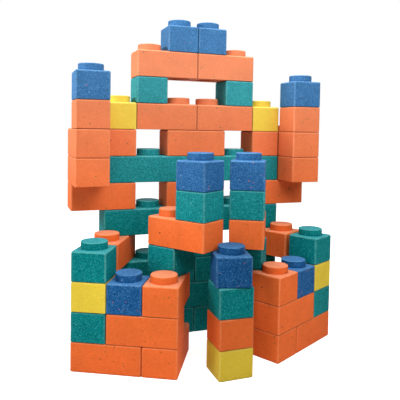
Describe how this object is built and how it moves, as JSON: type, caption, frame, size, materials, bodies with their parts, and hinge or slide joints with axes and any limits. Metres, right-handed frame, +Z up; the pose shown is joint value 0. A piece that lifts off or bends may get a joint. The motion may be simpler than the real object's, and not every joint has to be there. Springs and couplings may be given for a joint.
{
  "type": "giant building block castle",
  "caption": "Castle wall of giant moulded-foam building blocks that stack on round studs, with windows, corner towers, turned wings, swinging gate arms and a free-standing front column.",
  "frame": {"origin": "on the floor, under the middle of the whole layout's box", "axes": "+X along the wall to the right as seen from the front, +Y from the front column towards the wall, +Z up"},
  "size_m": [1.243, 0.7018, 1.5318],
  "materials": {
    "orange_foam": "moulded bead foam, matt, lightly flecked",
    "teal_foam": "moulded bead foam, matt, lightly flecked",
    "blue_foam": "moulded bead foam, matt, lightly flecked",
    "yellow_foam": "moulded bead foam, matt, lightly flecked"
  },
  "bodies": {
    "castle": {"wall_base_blocks": "teal_foam", "wall_second_blocks": "teal_foam", "wall_third_blocks": "teal_foam", "wall_fourth_block": "teal_foam", "wall_fifth_blocks": "teal_foam", "wall_sixth_left_block": "orange_foam", "wall_sixth_centre_block": "orange_foam", "wall_sixth_right_block": "orange_foam", "wall_seventh_blocks": "teal_foam", "wall_eighth_left_block": "orange_foam", "wall_eighth_centre_block": "orange_foam", "wall_eighth_right_block": "orange_foam", "wall_ninth_blocks": "orange_foam", "wall_tenth_left_block": "teal_foam", "wall_tenth_right_block": "teal_foam", "wall_eleventh_blocks": "orange_foam", "left_tower_lower_block": "orange_foam", "left_tower_upper_block": "orange_foam", "right_tower_lower_block": "orange_foam", "right_tower_upper_block": "orange_foam", "left_wing_base_block": "orange_foam", "left_wing_base_end_block": "orange_foam", "left_wing_second_teal_block": "teal_foam", "left_wing_second_orange_block": "orange_foam", "left_wing_yellow_block": "yellow_foam", "left_wing_end_block": "orange_foam", "right_wing_base_block": "orange_foam", "right_wing_base_end_block": "orange_foam", "right_wing_second_teal_block": "teal_foam", "right_wing_second_orange_block": "orange_foam", "right_wing_yellow_block": "yellow_foam", "right_wing_end_block": "orange_foam", "left_gate_post_block": "teal_foam", "right_gate_post_block": "teal_foam", "column_base_block": "yellow_foam"},
    "left_link": {"left_link_block": "orange_foam"},
    "left_gate_arm": {"left_gate_arm_block": "orange_foam"},
    "left_gate_teal": {"left_gate_teal_block": "teal_foam"},
    "left_gate_top": {"left_gate_top_block": "blue_foam"},
    "left_tower_neck": {"left_tower_neck_block": "orange_foam"},
    "left_tower_top": {"left_tower_top_block": "blue_foam"},
    "left_wing_corner": {"left_wing_corner_block": "teal_foam"},
    "left_wing_blue": {"left_wing_blue_block": "blue_foam"},
    "left_yellow": {"wall_left_yellow_block": "yellow_foam"},
    "left_crown": {"crown_left_block": "blue_foam"},
    "right_link": {"right_link_block": "orange_foam"},
    "right_gate_arm": {"right_gate_arm_block": "orange_foam"},
    "right_gate_teal": {"right_gate_teal_block": "teal_foam"},
    "right_gate_top": {"right_gate_top_block": "blue_foam"},
    "right_tower_neck": {"right_tower_neck_block": "orange_foam"},
    "right_tower_top": {"right_tower_top_block": "blue_foam"},
    "right_wing_corner": {"right_wing_corner_block": "teal_foam"},
    "right_wing_blue": {"right_wing_blue_block": "blue_foam"},
    "right_yellow": {"wall_right_yellow_block": "yellow_foam"},
    "right_crown": {"crown_right_block": "blue_foam"},
    "column_second": {"column_second_block": "orange_foam"},
    "column_third": {"column_third_block": "teal_foam"},
    "column_top": {"column_top_block": "blue_foam"}
  },
  "joints": [
    {"name": "left_link_turn", "type": "hinge", "parent": "castle", "child": "left_link", "pos_m": [-0.375, 0.25278, 0.375], "axis": [0, 0, 1], "range_deg": [0, 55]},
    {"name": "left_gate_swing", "type": "hinge", "parent": "castle", "child": "left_gate_arm", "pos_m": [-0.18805, -0.03549, 0.5006], "axis": [0, 0, 1], "range_deg": [-165, 3]},
    {"name": "left_gate_teal_turn", "type": "hinge", "parent": "left_gate_arm", "child": "left_gate_teal", "pos_m": [-0.10313, -0.15914, 0.6256], "axis": [0, 0, 1], "range_deg": [-25, 25]},
    {"name": "left_gate_top_lift", "type": "slide", "parent": "left_gate_teal", "child": "left_gate_top", "axis": [0, 0, 1], "range_m": [0, 0.08]},
    {"name": "left_tower_neck_turn", "type": "hinge", "parent": "castle", "child": "left_tower_neck", "pos_m": [-0.525, 0.10278, 1], "axis": [0, 0, 1], "range_deg": [-25, 25]},
    {"name": "left_tower_top_lift", "type": "slide", "parent": "left_tower_neck", "child": "left_tower_top", "axis": [0, 0, 1], "range_m": [0, 0.08]},
    {"name": "left_wing_corner_lift", "type": "slide", "parent": "castle", "child": "left_wing_corner", "axis": [0, 0, 1], "range_m": [0, 0.08]},
    {"name": "left_wing_blue_lift", "type": "slide", "parent": "castle", "child": "left_wing_blue", "axis": [0, 0, 1], "range_m": [0, 0.08]},
    {"name": "left_yellow_lift", "type": "slide", "parent": "castle", "child": "left_yellow", "axis": [0, 0, 1], "range_m": [0, 0.08]},
    {"name": "left_crown_lift", "type": "slide", "parent": "castle", "child": "left_crown", "axis": [0, 0, 1], "range_m": [0, 0.08]},
    {"name": "right_link_turn", "type": "hinge", "parent": "castle", "child": "right_link", "pos_m": [0.375, 0.25278, 0.375], "axis": [0, 0, 1], "range_deg": [-55, 0]},
    {"name": "right_gate_swing", "type": "hinge", "parent": "castle", "child": "right_gate_arm", "pos_m": [0.18805, -0.03549, 0.5006], "axis": [0, 0, 1], "range_deg": [-3, 160]},
    {"name": "right_gate_teal_turn", "type": "hinge", "parent": "right_gate_arm", "child": "right_gate_teal", "pos_m": [0.11652, -0.16734, 0.6256], "axis": [0, 0, 1], "range_deg": [-25, 25]},
    {"name": "right_gate_top_lift", "type": "slide", "parent": "right_gate_teal", "child": "right_gate_top", "axis": [0, 0, 1], "range_m": [0, 0.08]},
    {"name": "right_tower_neck_turn", "type": "hinge", "parent": "castle", "child": "right_tower_neck", "pos_m": [0.525, 0.10278, 1], "axis": [0, 0, 1], "range_deg": [-25, 25]},
    {"name": "right_tower_top_lift", "type": "slide", "parent": "right_tower_neck", "child": "right_tower_top", "axis": [0, 0, 1], "range_m": [0, 0.08]},
    {"name": "right_wing_corner_lift", "type": "slide", "parent": "castle", "child": "right_wing_corner", "axis": [0, 0, 1], "range_m": [0, 0.08]},
    {"name": "right_wing_blue_lift", "type": "slide", "parent": "castle", "child": "right_wing_blue", "axis": [0, 0, 1], "range_m": [0, 0.08]},
    {"name": "right_yellow_lift", "type": "slide", "parent": "castle", "child": "right_yellow", "axis": [0, 0, 1], "range_m": [0, 0.08]},
    {"name": "right_crown_lift", "type": "slide", "parent": "castle", "child": "right_crown", "axis": [0, 0, 1], "range_m": [0, 0.08]},
    {"name": "column_second_turn", "type": "hinge", "parent": "castle", "child": "column_second", "pos_m": [0, -0.26381, 0.125], "axis": [0, 0, 1], "continuous": true},
    {"name": "column_third_turn", "type": "hinge", "parent": "column_second", "child": "column_third", "pos_m": [0, -0.26381, 0.25], "axis": [0, 0, 1], "continuous": true},
    {"name": "column_top_turn", "type": "hinge", "parent": "column_third", "child": "column_top", "pos_m": [0, -0.26381, 0.375], "axis": [0, 0, 1], "continuous": true}
  ]
}
